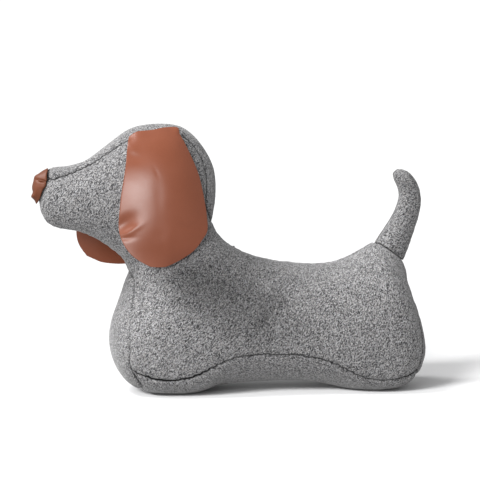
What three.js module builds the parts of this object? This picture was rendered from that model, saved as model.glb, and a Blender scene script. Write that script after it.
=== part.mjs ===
// A dachshund-shaped doorstop. A filled wool body is sewn from two side panels, and its head gusset,
// chest gusset, base and rump gusset are let in between them. A stuffed tail, two leather ears and a
// leather nose are sewn on. Millimetres. The dog looks along -X, its left side faces -Y, and it
// stands on Z = 0.
import * as THREE from "three";

// Driving dimensions.
const CLOTH = 3; // wool cloth with the seam allowance behind it
const NOSE_LEATHER = 2; // the leather with its turned edge
const EAR_LEATHER = 2.2;
const GAP = 0.5; // between sewn pieces
const BED = 0.8; // between a panel and the filled body under it
const SEAM_DEPTH = 1.6; // how far the sewing draws a seam in
const NOSE_SEAM_DEPTH = 0.8;
const SEAM_ROLL = 4; // how far from a seam the cloth starts to round over
const EAR_CLEARANCE = 2; // between a hanging ear and the wool beside it
const EAR_SEAT = 0.9; // between an ear's top edge and the seam that holds it

// The body from its nose to the tail's seat, a row for each section. A section is a ring across the
// dog, from a point on its top line to a point on its bottom line. half is its greatest half width,
// and widest says how far down that is, from 0 to 1. topFull and lowFull say how square the ring is
// above and below there, with 2 for an ellipse. topPanel and lowPanel are half the widths of the
// panels let in along the top and bottom lines, measured along the cloth. rings is how many rings of
// facets there are from a section to the next.
const BODY = table(
  ["at", "topX", "topZ", "lowX", "lowZ", "half", "widest", "topFull", "lowFull", "topPanel", "lowPanel",
    "rings"],
  [
    ["nose tip", -168.8, 176, -168.8, 176, 0, 0.5, 2.2, 2.2, 4, 4, 2],
    ["nose front", -164.8, 184.6, -168.2, 166, 9, 0.45, 2.2, 2.2, 6, 4, 2],
    ["nose edge", -155.5, 192, -164.5, 160.5, 15, 0.45, 2.3, 2.2, 20, 4, 2],
    ["muzzle", -145.5, 193.3, -157.5, 147, 21, 0.5, 2.3, 2.2, 21, 4, 2],
    ["snout", -132.7, 195.5, -144, 140, 26, 0.55, 2.3, 2.2, 18.5, 4, 1],
    ["stop", -115.4, 204, -127, 135.5, 31, 0.55, 2.3, 2.2, 20.5, 4, 1],
    ["brow", -97.3, 219.7, -111.5, 127, 36, 0.55, 2.3, 2.2, 24, 4, 2],
    ["forehead", -81.5, 228.2, -100, 118.5, 40, 0.55, 2.3, 2.2, 26.5, 4, 1],
    ["crown", -64.5, 230.5, -94.5, 114, 43, 0.55, 2.3, 2.2, 27, 4, 1],
    ["back of crown", -46.5, 228, -91.8, 110.5, 44, 0.55, 2.3, 2.2, 22.5, 4, 2],
    ["back of head", -29, 212.5, -90.5, 108, 43, 0.52, 2.3, 2.2, 19.5, 4, 2],
    ["throat", -17, 191, -90.3, 104, 41, 0.5, 2.3, 2.2, 25.5, 7, 2],
    ["neck", -12.5, 166, -90.7, 98, 39.5, 0.5, 2.2, 2.2, 31, 18, 2],
    ["nape", -14, 144.5, -93, 89, 40, 0.5, 2.1, 2.2, 10, 26, 2],
    ["withers", -7.5, 133, -97.5, 76, 44, 0.52, 2.1, 2.3, 4, 33.5, 2],
    ["shoulder", 4, 124, -104, 59, 50, 0.55, 2.1, 2.4, 4, 43, 2],
    ["chest", 15, 118.5, -105.3, 40, 55, 0.58, 2.2, 2.6, 4, 48.5, 3],
    ["front corner", 24, 115.6, -99, 20, 58, 0.6, 2.2, 3, 4, 50.5, 6],
    ["front toe", 32, 113.8, -83, 3, 59, 0.6, 2.2, 3.4, 4, 60, 6],
    ["front foot", 40, 112, -57, -2.5, 58.5, 0.6, 2.2, 3.4, 4, 66.5, 4],
    ["front heel", 48, 111.2, -33, -1.5, 57, 0.6, 2.2, 3.2, 4, 80, 3],
    ["belly front", 57, 110.5, -8, 5.5, 54, 0.6, 2.2, 2.6, 4, 70.5, 2],
    ["belly", 66.5, 110.2, 30, 7.5, 52.5, 0.6, 2.2, 2.3, 4, 62, 2],
    ["belly rear", 78, 110.6, 73, 6.5, 53, 0.6, 2.2, 2.5, 4, 58, 2],
    ["hind toe", 89, 111.8, 103, -0.8, 56, 0.6, 2.2, 3.1, 4, 55.5, 2],
    ["hind foot", 98, 114, 128, -2.5, 57.5, 0.6, 2.2, 3.4, 4, 55, 2],
    ["hind heel", 106, 116.5, 149, 1, 57.5, 0.6, 2.2, 3.2, 4, 52.5, 3],
    ["rear corner", 112, 119.5, 163, 12, 55, 0.6, 2.2, 2.8, 4, 43.5, 3],
    ["rump", 117, 122, 170, 29, 50, 0.58, 2.2, 2.5, 4, 45.5, 2],
    ["upper rump", 120.5, 124.3, 168.5, 49, 43, 0.55, 2.1, 2.3, 4, 39, 1],
    ["under the tail", 123.5, 126.3, 165, 70, 34, 0.53, 2.1, 2.2, 4, 26, 1],
    ["tail root", 125.8, 127.6, 160, 90, 24, 0.5, 2, 2, 4, 13, 1],
    ["tail seat", 127.3, 128.5, 154.5, 110.5, 15.5, 0.5, 2, 2, 3, 4, 1],
    ["seat centre", 140.9, 119.5, 140.9, 119.5, 0, 0.5, 2, 2, 3, 4, 1],
  ],
);

// The tail from its sewn root to its tip, in the same columns. No panels are let in.
const TAIL = table(
  ["at", "topX", "topZ", "lowX", "lowZ", "half", "widest", "topFull", "lowFull", "rings"],
  [
    ["root centre", 141.1, 119.8, 141.1, 119.8, 0, 0.5, 2, 2, 2],
    ["root", 127.8, 128.6, 154.4, 111, 15, 0.5, 2, 2, 1],
    ["lower tail", 135.2, 138.5, 160, 126, 13.8, 0.5, 2, 2, 1],
    ["middle", 142.8, 149.4, 165.3, 141, 12.2, 0.5, 2, 2, 2],
    ["upper tail", 147.5, 160, 169, 154, 10.8, 0.5, 2, 2, 2],
    ["bend", 148.6, 169.5, 169.5, 165.5, 10, 0.5, 2, 2, 2],
    ["curl", 145, 177.5, 166, 177, 9.6, 0.5, 2, 2, 2],
    ["rounding", 142.4, 184.5, 158, 187, 7.4, 0.5, 2, 2, 2],
    ["tip", 148.3, 190.3, 148.3, 190.3, 0, 0.5, 2, 2, 2],
  ],
);

// Where the panels begin and end, as sections of BODY.
const NOSE_EDGE = section("nose edge");
const NAPE = section("nape");
const THROAT = section("throat");
const TOE_SEAM = bowed(section("front corner") + 0.1, section("front toe") + 0.2);
const HEEL_SEAM = bowed(section("rear corner") + 0.1, section("rear corner") - 0.4);
const RUMP_END = section("tail root") + 0.3;
const TAIL_SEAT = section("tail seat");

// A hanging ear seen from the dog's left, a row for each level below the seam that holds it: its
// front and back edges from the middle of that seam, and how far it stands off beyond a plumb line.
const EAR = table(
  ["frontX", "frontZ", "backX", "backZ", "flare"],
  [
    [-20.5, -16, 28.2, -16, 0],
    [-22.2, -31, 34.8, -31, 0],
    [-25.3, -48, 41, -48, 0],
    [-27.5, -61.5, 43.5, -61.5, 0.5],
    [-28.8, -74, 45.2, -74, 1],
    [-28.3, -86, 42.6, -86, 2],
    [-22.8, -98, 35.5, -98.5, 3.5],
    [-14.5, -106.5, 23.5, -107.3, 5],
    [-3, -111.8, 9.5, -111.9, 6],
  ],
);

// How each ear hangs from the head gusset's seam: the sections that its top edge lies between, how
// many degrees it swings towards the nose at its bottom edge, and its length and its flare against
// the table's.
const LEFT_EAR = { side: -1, seamFront: 6.7, seamBack: 8.95, swing: 0, long: 1, flare: 1 };
const RIGHT_EAR = { side: 1, seamFront: 6.7, seamBack: 9.1, swing: 24.5, long: 1.07, flare: 1.6 };

const WOOL = { color: 0x8b8989, roughness: 0.95, metalness: 0 };
const TAN_LEATHER = { color: 0x96563f, roughness: 0.42, metalness: 0 };

function table(columns, rows) {
  return rows.map((row) => Object.fromEntries(columns.map((name, i) => [name, row[i]])));
}

function section(name) {
  return BODY.findIndex((row) => row.at === name);
}

// A seam that crosses a panel from corner to corner: its place at the panel's corners and in its
// middle. Its argument is a distance from the middle, as a share of the panel's half width.
function bowed(corner, middle) {
  return (share) => THREE.MathUtils.lerp(middle, corner, share ** 2);
}

// A smooth curve through one column of a table. Its argument counts rows, and may be a fraction.
function smooth(rows, column) {
  const curve = new THREE.SplineCurve(rows.map((row, i) => new THREE.Vector2(i, row[column])));
  return (place) => curve.getPoint(place / (rows.length - 1)).y;
}

// The surface through a table of rings. A place on it is a section, a distance along the cloth from
// the top line, and a side: -1 for the dog's left and 1 for its right.
class RingForm {
  static ARC_STEPS = 96;
  static NUDGE = 0.02;

  constructor(rows) {
    for (const column of Object.keys(rows[0]).filter((name) => name !== "at")) {
      this[column] = smooth(rows, column);
    }
    this.last = rows.length - 1;
    this.rings = new Map();
  }

  // Half a ring as points down the ring and out from its middle, with the cloth's length to each.
  ring(place) {
    if (this.rings.has(place)) return this.rings.get(place);
    const top = new THREE.Vector2(this.topX(place), this.topZ(place));
    const low = new THREE.Vector2(this.lowX(place), this.lowZ(place));
    const tall = top.distanceTo(low);
    const half = Math.max(0, this.half(place));
    const widest = this.widest(place);
    const points = [];
    let length = 0;
    for (let i = 0; i <= RingForm.ARC_STEPS; i += 1) {
      const angle = (Math.PI * i) / RingForm.ARC_STEPS;
      const upper = angle < Math.PI / 2;
      const power = 2 / (upper ? this.topFull(place) : this.lowFull(place));
      const reach = Math.abs(Math.cos(angle)) ** power;
      const down = upper ? widest * (1 - reach) : widest + (1 - widest) * reach;
      const point = { down: down * tall, out: half * Math.abs(Math.sin(angle)) ** power };
      const before = points.at(-1) ?? point;
      length += Math.hypot(point.down - before.down, point.out - before.out);
      points.push({ ...point, length });
    }
    const ring = { top, direction: low.sub(top).normalize(), points, length };
    this.rings.set(place, ring);
    return ring;
  }

  skin(place, along, side) {
    const { top, direction, points } = this.ring(place);
    const next = points.findIndex((point) => point.length >= along);
    const b = points[next < 0 ? points.length - 1 : next];
    const a = points[Math.max(0, points.indexOf(b) - 1)];
    const share = b.length > a.length ? Math.min(1, (along - a.length) / (b.length - a.length)) : 0;
    const down = THREE.MathUtils.lerp(a.down, b.down, share);
    const out = THREE.MathUtils.lerp(a.out, b.out, share);
    return new THREE.Vector3(top.x + direction.x * down, side * out, top.y + direction.y * down);
  }

  // The direction out of the surface, from two short steps along it. At the two ends of the form it
  // points away from the nearest section.
  normal(place, along, side) {
    const { length } = this.ring(place);
    if (length < RingForm.NUDGE) {
      const inner = place < 1 ? 1 : this.last - 1;
      const centre = this.skin(inner, 0, side).add(this.skin(inner, this.ring(inner).length, side));
      return this.skin(place, 0, side).sub(centre.multiplyScalar(0.5)).normalize();
    }
    const share = along / length;
    const fore = Math.max(0, place - RingForm.NUDGE);
    const aft = Math.min(this.last, place + RingForm.NUDGE);
    const back = this.skin(aft, share * this.ring(aft).length, side);
    back.sub(this.skin(fore, share * this.ring(fore).length, side));
    const round = this.skin(place, Math.min(1, share + RingForm.NUDGE) * length, side);
    round.sub(this.skin(place, Math.max(0, share - RingForm.NUDGE) * length, side));
    if (share < RingForm.NUDGE) round.set(0, side, 0);
    if (share > 1 - RingForm.NUDGE) round.set(0, -side, 0);
    return round.cross(back).multiplyScalar(-side).normalize();
  }

  // A point some depth under the surface. The form stands on Z = 0, where its cloth lies flat.
  under(place, along, side, depth) {
    const point = this.skin(place, along, side);
    point.addScaledVector(this.normal(place, along, side), -depth);
    point.z = Math.max(point.z, depth);
    return point;
  }

  // How many sections a distance along the top line or the bottom line makes.
  sections(place, distance, line) {
    const [x, z] = line === "top" ? [this.topX, this.topZ] : [this.lowX, this.lowZ];
    const [fore, aft] = [Math.max(0, place - 0.5), Math.min(this.last, place + 0.5)];
    return (distance * (aft - fore)) / Math.hypot(x(aft) - x(fore), z(aft) - z(fore));
  }
}

// Each vertex of a geometry goes where pointAt says, from its place in the geometry's own grid.
function shaped(geometry, pointAt) {
  const position = geometry.getAttribute("position");
  const uv = geometry.getAttribute("uv");
  for (let i = 0; i < position.count; i += 1) {
    const point = pointAt(new THREE.Vector3().fromBufferAttribute(position, i), uv.getX(i), uv.getY(i));
    position.setXYZ(i, point.x, point.y, point.z);
  }
  geometry.computeVertexNormals();
  return geometry;
}

// A closed skin of rings on a form. A station is a place on it, with a column for each point of half
// its ring, from the top line to the bottom line: its distance along the cloth, and its depth.
function ringSkin(form, stations) {
  const columns = stations[0].columns.length - 1;
  const rows = stations.length - 1;
  const sphere = new THREE.SphereGeometry(1, 2 * columns, rows);
  return shaped(sphere, (_, u, v) => {
    const k = THREE.MathUtils.clamp(Math.round(u * 2 * columns), 0, 2 * columns);
    const station = stations[Math.round((1 - v) * rows)];
    const { along, depth } = station.columns[k <= columns ? k : 2 * columns - k];
    return form.under(station.place, along, k <= columns ? 1 : -1, depth);
  });
}

// A closed sheet of cloth. pointAt gives a point of its grid, on its outer face or its inner one.
function sheet(columns, rows, pointAt) {
  const box = new THREE.BoxGeometry(1, 1, 1, columns, rows, 1);
  return shaped(box, ({ x, y, z }) =>
    pointAt(Math.round((x + 0.5) * columns), Math.round((y + 0.5) * rows), z > 0),
  );
}

function piece(name, geometry, material) {
  const mesh = new THREE.Mesh(geometry, new THREE.MeshStandardMaterial(material));
  mesh.name = name;
  return mesh;
}

const body = new RingForm(BODY);

// How far a seam draws the cloth in, at a distance from it.
function drawnIn(distance) {
  return SEAM_DEPTH * Math.max(0, 1 - distance / SEAM_ROLL) ** 2;
}

// The places of a form's rings from one place to another, with those two first and last.
const LEAST_STEP = 0.15;
function places(rows, from, to) {
  const inner = rows.flatMap(({ rings }, i) => Array.from({ length: rings }, (_, k) => i + k / rings));
  return [from, ...inner.filter((at) => at > from + LEAST_STEP && at < to - LEAST_STEP), to];
}

// The body's rings. Where a panel begins or ends, a second ring stands a seam's gap further on.
const NOSE_GAP = body.sections(NOSE_EDGE, GAP, "low");
const NAPE_GAP = body.sections(NAPE, GAP, "top");
const THROAT_GAP = body.sections(THROAT, GAP, "low");
const RUMP_GAP = body.sections(RUMP_END, GAP, "low");

// Half a panel's columns, from its middle line to the edge that is sewn. On a narrow panel or a
// small ring the cloth rounds over within a share of the width.
const PANEL_SHARES = [0, 0.36, 0.7, 1];
const PANEL_ROLL = 0.4;
const LEAST_ROLL = 0.05;
function panelColumns(half) {
  const roll = Math.min(SEAM_ROLL, PANEL_ROLL * half);
  return [...PANEL_SHARES.map((share) => share * (half - roll)), half];
}

// Half a panel's width at a place, which leaves cloth beside it on the smallest rings.
const WIDEST_PANEL = 0.42;
function halfPanel(line, place) {
  const half = line === "top" ? body.topPanel(place) : body.lowPanel(place);
  return Math.min(half, WIDEST_PANEL * body.ring(place).length);
}

// One ring of the filled body. It is lower under the panels and under the leather nose.
const SIDE_COLUMNS = 6;
const UNCOVERED = 0.8; // where there is no panel, its columns close up towards the middle line
function bodyStation(place) {
  const { length } = body.ring(place);
  const bare = place <= NOSE_EDGE;
  const topCovered = place > NOSE_EDGE && place < NAPE;
  const lowCovered = place > THROAT && place < RUMP_END;
  const topHalf = halfPanel("top", place);
  const lowHalf = halfPanel("low", place);
  const roll = Math.min(SEAM_ROLL, LEAST_ROLL * length);
  const column = (along, depth) => ({ along, depth: bare ? NOSE_LEATHER + GAP : depth });
  const noseSeam = drawnIn(((place - NOSE_EDGE) / NOSE_GAP) * GAP);
  const panel = (half, covered) => {
    const columns = panelColumns(covered ? half + GAP : half * UNCOVERED);
    return columns.map((across) => [across, covered ? CLOTH + BED : Math.max(drawnIn(across), noseSeam)]);
  };
  const lip = (covered) => Math.max(covered ? SEAM_DEPTH : 0, noseSeam);
  const first = topHalf + GAP + roll;
  const last = length - lowHalf - GAP - roll;
  const sides = Array.from({ length: SIDE_COLUMNS + 1 }, (_, i) =>
    column(THREE.MathUtils.lerp(first, last, i / SIDE_COLUMNS), noseSeam),
  );
  const cap = place >= TAIL_SEAT ? 0 : 1;
  return {
    place,
    columns: [
      ...panel(topHalf, topCovered).map(([across, depth]) => column(across, depth * cap)),
      column(topHalf + GAP, lip(topCovered) * cap),
      ...sides,
      column(length - lowHalf - GAP, lip(lowCovered) * cap),
      ...panel(lowHalf, lowCovered).reverse().map(([across, depth]) => column(length - across, depth * cap)),
    ],
  };
}

function bodyGeometry() {
  const rings = [
    ...places(BODY, 0, NOSE_EDGE),
    ...places(BODY, NOSE_EDGE + NOSE_GAP, THROAT),
    ...places(BODY, THROAT + THROAT_GAP, NAPE - NAPE_GAP),
    ...places(BODY, NAPE, RUMP_END - RUMP_GAP),
    ...places(BODY, RUMP_END, TAIL_SEAT),
    body.last,
  ];
  return ringSkin(body, rings.map(bodyStation));
}

// A strip of cloth let in along the top line or the bottom line, from one cross seam to another.
function panelGeometry(line, startSeam, endSeam) {
  const start = startSeam(0);
  const end = endSeam(0);
  const endRoll = (place) => body.sections(place, SEAM_ROLL, line);
  const stations = [start, ...places(BODY, start + endRoll(start), end - endRoll(end)), end];
  const columns = 2 * PANEL_SHARES.length;
  return sheet(columns, stations.length - 1, (i, j, outer) => {
    const column = Math.abs(i - columns / 2);
    const share = column / (columns / 2);
    const [from, to] = [startSeam(share), endSeam(share)];
    const place = THREE.MathUtils.mapLinear(stations[j], start, end, from, to);
    const half = halfPanel(line, place);
    const across = panelColumns(half)[column];
    const toEnd = Math.min(place - from, to - place) / body.sections(place, 1, line);
    const depth = outer ? Math.max(drawnIn(half - across), drawnIn(toEnd)) : CLOTH;
    const side = Math.sign(i - columns / 2) * (line === "top" ? -1 : 1) || 1;
    const along = line === "top" ? across : body.ring(place).length - across;
    return body.under(place, along, side, depth);
  });
}

// The same cross seam's other side, a gap further on.
function pastSeam(seam) {
  return (share) => seam(share) + body.sections(seam(share), GAP, "low");
}

// A station whose points are all at one depth and evenly apart.
function evenStation(form, place, count, depth) {
  const { length } = form.ring(place);
  return {
    place,
    columns: Array.from({ length: count + 1 }, (_, i) => ({ along: (length * i) / count, depth })),
  };
}

// The leather cap over the end of the snout: its outer face, then its inner face from the edge back.
const NOSE_COLUMNS = 10;
function noseGeometry() {
  const rings = places(BODY, 0, NOSE_EDGE);
  const outer = rings.map((place) =>
    evenStation(body, place, NOSE_COLUMNS, place === NOSE_EDGE ? NOSE_SEAM_DEPTH : 0),
  );
  const inner = rings.map((place) => evenStation(body, place, NOSE_COLUMNS, NOSE_LEATHER));
  return ringSkin(body, [...outer, ...inner.reverse()]);
}

const TAIL_COLUMNS = 8;
function tailGeometry() {
  const tail = new RingForm(TAIL);
  const rings = [0, ...places(TAIL, 1, tail.last)];
  return ringSkin(tail, rings.map((place) => evenStation(tail, place, TAIL_COLUMNS, 0)));
}

// A point a clearance off the wool, straight beside a point in the side view, or nothing where the
// wool doesn't reach.
const caster = new THREE.Raycaster();
function besideWool(bodyMesh, side, x, z) {
  const outside = 2 * Math.max(...BODY.map(({ half }) => half));
  caster.set(new THREE.Vector3(x, side * outside, z), new THREE.Vector3(0, -side, 0));
  const [hit] = caster.intersectObject(bodyMesh);
  return hit?.point.addScaledVector(hit.face.normal, EAR_CLEARANCE);
}

// An ear's cut outline: a point of it in the side view, from the middle of the seam that holds it.
// The swing grows from half at the seam to the whole at the bottom edge.
const earColumn = Object.fromEntries(
  Object.keys(EAR[0]).map((column) => [column, smooth([EAR[0], ...EAR], column)]),
);
function earOutline({ swing, long }, across, level) {
  const { frontX, frontZ, backX, backZ } = earColumn;
  const point = new THREE.Vector2(
    THREE.MathUtils.lerp(frontX(level), backX(level), across),
    THREE.MathUtils.lerp(frontZ(level), backZ(level), across),
  );
  const turn = THREE.MathUtils.degToRad(swing) * (0.5 + (0.5 * level) / EAR.length);
  return point.multiplyScalar(long).rotateAround(new THREE.Vector2(), -turn);
}

// How far out a row of an ear is at an X, between its points there.
function standingAt(row, x) {
  const next = row.findIndex((point) => point.x >= x);
  if (next <= 0) return row.at(next).y;
  const [a, b] = [row[next - 1], row[next]];
  return THREE.MathUtils.mapLinear(x, a.x, b.x, a.y, b.y);
}

// The rows of an ear's inner face, from the seam down. It lies against the wool, and from the
// widest point on it hangs plumb.
const EAR_COLUMNS = 8;
const EAR_ROWS = 15;
function earRows(ear, bodyMesh) {
  const { side, seamFront, seamBack, flare } = ear;
  const seam = (place) => body.skin(place, halfPanel("top", place), side);
  const middle = seam((seamFront + seamBack) / 2);
  const shares = Array.from({ length: EAR_COLUMNS + 1 }, (_, i) => i / EAR_COLUMNS);
  const top = shares.map((across) => {
    const held = THREE.MathUtils.lerp(seamFront, seamBack, across);
    return seam(held).addScaledVector(body.normal(held, halfPanel("top", held), side), EAR_SEAT);
  });
  const rows = [top];
  for (let j = 1; j <= EAR_ROWS; j += 1) {
    const level = (j * EAR.length) / EAR_ROWS;
    const row = shares.map((across, i) => {
      const below = earOutline(ear, across, Math.max(1, level));
      const x = THREE.MathUtils.lerp(top[i].x, middle.x + below.x, Math.min(1, level));
      const z = THREE.MathUtils.lerp(top[i].z, middle.z + below.y, Math.min(1, level));
      const plumb = new THREE.Vector3(x, standingAt(rows.at(-1), x), z);
      const wool = besideWool(bodyMesh, side, x, z) ?? plumb;
      return Math.abs(wool.y) > Math.abs(plumb.y) ? wool : plumb;
    });
    rows.push(row);
  }
  return rows.map((row, j) => {
    const standsOff = earColumn.flare((j * EAR.length) / EAR_ROWS) * flare;
    return row.map((point) => point.clone().add(new THREE.Vector3(0, side * standsOff, 0)));
  });
}

function earGeometry(ear, bodyMesh) {
  const rows = earRows(ear, bodyMesh);
  const at = (row) => rows[THREE.MathUtils.clamp(row, 0, EAR_ROWS)];
  const outward = (row) => {
    const down = at(row + 1)[EAR_COLUMNS / 2].clone().sub(at(row - 1)[EAR_COLUMNS / 2]);
    const back = at(row)[EAR_COLUMNS].clone().sub(at(row)[0]);
    return down.cross(back).multiplyScalar(-ear.side).normalize();
  };
  return sheet(EAR_COLUMNS, EAR_ROWS, (i, j, outer) => {
    const column = ear.side < 0 ? i : EAR_COLUMNS - i;
    const row = EAR_ROWS - j;
    const point = rows[row][column].clone();
    return outer ? point.addScaledVector(outward(row), EAR_LEATHER) : point;
  });
}

const dog = new THREE.Group();
const bodyMesh = piece("body", bodyGeometry(), WOOL);
dog.add(bodyMesh);
for (const [name, line, startSeam, endSeam] of [
  ["head_gusset", "top", () => NOSE_EDGE + 2 * NOSE_GAP, () => NAPE - 2 * NAPE_GAP],
  ["chest_gusset", "low", () => THROAT + 2 * THROAT_GAP, TOE_SEAM],
  ["base_panel", "low", pastSeam(TOE_SEAM), HEEL_SEAM],
  ["rump_gusset", "low", pastSeam(HEEL_SEAM), () => RUMP_END - 2 * RUMP_GAP],
]) {
  dog.add(piece(name, panelGeometry(line, startSeam, endSeam), WOOL));
}
dog.add(piece("tail", tailGeometry(), WOOL));
dog.add(piece("nose", noseGeometry(), TAN_LEATHER));
dog.add(piece("ear_left", earGeometry(LEFT_EAR, bodyMesh), TAN_LEATHER));
dog.add(piece("ear_right", earGeometry(RIGHT_EAR, bodyMesh), TAN_LEATHER));

// The origin is on the ground, under the middle of the dog.
const reach = new THREE.Box3().setFromObject(dog);
const centre = reach.getCenter(new THREE.Vector3());
dog.position.set(-centre.x, -centre.y, -reach.min.z);

export default dog;
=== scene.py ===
# %% [markdown]
# # A dachshund that holds a door open
# The real thing is sewn, not carved. Two side panels, a head gusset, a chest gusset, a base and a
# rump gusset make a wool skin, and the filling pushes it out between its seams. A stuffed tail,
# two leather ears and a leather nose are sewn on. It could be sculpted from nothing, but the
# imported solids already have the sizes. So this file keeps their places and gives them cloth,
# seams, folds and finishes.

# %% The frame, and what the whole file uses
import math

import bmesh
import bpy
import numpy as np
from mathutils import Matrix, Vector, noise
from mathutils.bvhtree import BVHTree
from mathutils.kdtree import KDTree


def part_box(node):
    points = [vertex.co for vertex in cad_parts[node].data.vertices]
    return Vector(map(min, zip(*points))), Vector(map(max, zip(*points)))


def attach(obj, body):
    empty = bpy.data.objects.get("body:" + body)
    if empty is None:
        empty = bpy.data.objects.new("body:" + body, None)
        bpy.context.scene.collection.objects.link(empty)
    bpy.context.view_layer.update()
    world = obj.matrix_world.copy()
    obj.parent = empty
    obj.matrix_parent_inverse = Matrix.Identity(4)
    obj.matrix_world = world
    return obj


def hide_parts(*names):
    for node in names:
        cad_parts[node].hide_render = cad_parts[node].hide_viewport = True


MM = 0.001
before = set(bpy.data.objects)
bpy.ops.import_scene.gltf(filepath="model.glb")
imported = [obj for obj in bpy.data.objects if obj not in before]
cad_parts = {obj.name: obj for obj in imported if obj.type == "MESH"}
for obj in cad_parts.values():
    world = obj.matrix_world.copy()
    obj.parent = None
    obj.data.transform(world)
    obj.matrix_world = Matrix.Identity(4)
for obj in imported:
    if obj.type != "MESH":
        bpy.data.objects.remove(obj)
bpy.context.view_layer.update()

# %% [markdown]
# ## The camera
# A wide lens close by would make the dog's face large and its rump small. A long lens from far
# away keeps a small object's lines almost parallel, as a catalogue picture does. The camera
# stands a little towards the dog's face and a little above its back.

# %% The camera
TARGET = Vector((-0.6, 0, 110)) * MM
DISTANCE = 1200 * MM
YAW, TILT = math.radians(8), math.radians(3)
LENS, SHIFT = 104.35, (0.0208, 0.047)
back = Vector((-math.sin(YAW) * math.cos(TILT), -math.cos(YAW) * math.cos(TILT), math.sin(TILT)))
camera = bpy.data.objects.new("camera", bpy.data.cameras.new("camera"))
bpy.context.scene.collection.objects.link(camera)
camera.location = TARGET + DISTANCE * back
camera.rotation_euler = (-back).to_track_quat("-Z", "Y").to_euler()
camera.data.lens = LENS
camera.data.shift_x, camera.data.shift_y = SHIFT
bpy.context.scene.camera = camera
print("camera", [round(c, 3) for c in camera.location], "lens", LENS)

# %% [markdown]
# ## The floor
# The dog stands on a sheet of pale paper that reaches further than the camera sees. A curved
# backdrop could be built, but a flat sheet with a white world behind it looks the same from here.
# Paper that looks white also throws much light up, and the belly of a dog this low would glow.
# So the light that bounces off this paper is that of a darker one.
#
# A node tree is drawn by hand in the editor. A script needs a line for each node and each link,
# so a small maker takes both at once: a socket among its inputs becomes a link.


# %% The paper
def node_maker(tree):
    """A function that adds a node to a tree, with its inputs set or linked."""

    def make(kind, inputs=(), **settings):
        node = tree.nodes.new("ShaderNode" + kind)
        for name, value in settings.items():
            setattr(node, name, value)
        for socket, value in dict(inputs).items():
            if isinstance(value, bpy.types.NodeSocket):
                tree.links.new(value, node.inputs[socket])
            else:
                node.inputs[socket].default_value = value
        return node

    return make


def finish_nodes(name, roughness, **sockets):
    """A material with its shader's constant sockets set, and its node tree."""
    material = bpy.data.materials.new(name)
    material.use_nodes = True
    shader = material.node_tree.nodes["Principled BSDF"]
    shader.inputs["Roughness"].default_value = roughness
    for socket, value in sockets.items():
        shader.inputs[socket.replace("_", " ")].default_value = value
    return material, material.node_tree, shader


PAPER, PAPER_BOUNCE = (0.75, 0.75, 0.755, 1), (0.3, 0.3, 0.3, 1)
paper, paper_tree, paper_shader = finish_nodes("paper", 0.9, Specular_IOR_Level=0.1)
make = node_maker(paper_tree)
bounce = make("LightPath")
whites = make("MixRGB", {"Fac": bounce.outputs["Is Diffuse Ray"], "Color1": PAPER,
                         "Color2": PAPER_BOUNCE})
paper_tree.links.new(whites.outputs["Color"], paper_shader.inputs["Base Color"])
print("paper", len(paper_tree.nodes), "nodes")

# %% The floor
FLOOR_HALF = 40


def floor_piece(size):
    bm = bmesh.new()
    bmesh.ops.create_grid(bm, x_segments=1, y_segments=1, size=size)
    mesh = bpy.data.meshes.new("floor")
    bm.to_mesh(mesh)
    bm.free()
    return bpy.data.objects.new("floor", mesh)


floor = floor_piece(FLOOR_HALF)
bpy.context.scene.collection.objects.link(floor)
floor.data.materials.append(paper)
floor.visible_glossy = False
print("floor", 2 * FLOOR_HALF, "m wide")

# %% [markdown]
# ## The lamps
# The key light is high on the left and straight along the dog, so it only grazes the dog's side
# and its top line is bright. A softbox beside the camera fills that side and gives the leather
# its pale shine. One lamp for the dog and the floor would be simpler, but the floor's soft shadow
# falls another way than the dog's shade. So light linking gives the floor two lamps of its own,
# and takes the key light off it.


# %% The lamps
def lamp(name, kind, watts, toward, distance=0.0, **settings):
    """A lamp in a direction from the dog, and turned to it."""
    light = bpy.data.objects.new(name, bpy.data.lights.new(name, kind))
    light.data.energy = watts
    for setting, value in settings.items():
        setattr(light.data, setting, value)
    light.location = TARGET + distance * Vector(toward).normalized()
    light.rotation_euler = Vector(toward).to_track_quat("Z", "Y").to_euler()
    bpy.context.scene.collection.objects.link(light)
    return light


TO_SOFTBOX = Vector((-0.38, -0.9, 0.18)).normalized()
key = lamp("key", "SUN", 4.0, (-0.64, 0, 0.77), angle=math.radians(32))
floor_key = lamp("floor_key", "SUN", 5.2, (-0.59, -0.67, 0.45), angle=math.radians(18))
floor_fill = lamp("floor_fill", "SUN", 1.3, (-0.5, -0.15, 0.85), angle=math.radians(16))
softbox = lamp("softbox", "AREA", 14, TO_SOFTBOX, distance=1.4, size=0.6)
print("lamps", {light.name: light.data.energy for light in (key, floor_key, floor_fill, softbox)})

# %% [markdown]
# ## The flag
# A flag is a card that keeps a lamp off one place. Here it keeps the softbox off the hollow
# behind the neck, which then lies in shade. A deeper hollow would shade itself, but it would
# also dent the dog's outline from other sides. The other lamps pass through the card.


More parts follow.
